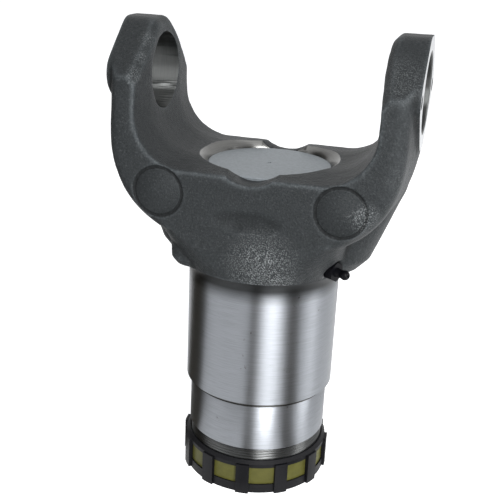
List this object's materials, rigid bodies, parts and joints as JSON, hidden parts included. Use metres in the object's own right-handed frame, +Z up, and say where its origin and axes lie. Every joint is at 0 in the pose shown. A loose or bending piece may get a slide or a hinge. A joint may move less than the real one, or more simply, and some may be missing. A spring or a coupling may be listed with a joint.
{
  "type": "splined slip yoke",
  "caption": "Forged slip yoke that joins a drive shaft's universal joint to a splined shaft, with plug, dust cap, seal and grease fitting.",
  "frame": {"origin": "on the barrel's axis, at the lower face of the dust cap, on which the yoke stands", "axes": "+X along the cross bore, +Z up the barrel towards the ears, +Y across the ears at the side away from the grease fitting"},
  "size_m": [0.1916, 0.1104, 0.3075],
  "materials": {
    "forged_steel": "forged and shot blasted, with turned and bored faces",
    "pressed_steel": "pressed, matt",
    "black_plastic": "moulded, satin",
    "olive_seal": "moulded, satin",
    "fitting_steel": "black oxide",
    "bright_steel": "polished"
  },
  "bodies": {
    "root": {"slip_yoke": "forged_steel", "welch_plug": "pressed_steel", "dust_cap": "black_plastic", "seal_ring": "olive_seal", "grease_fitting": "fitting_steel", "fitting_ball": "bright_steel", "fitting_spring": "bright_steel"}
  },
  "joints": []
}
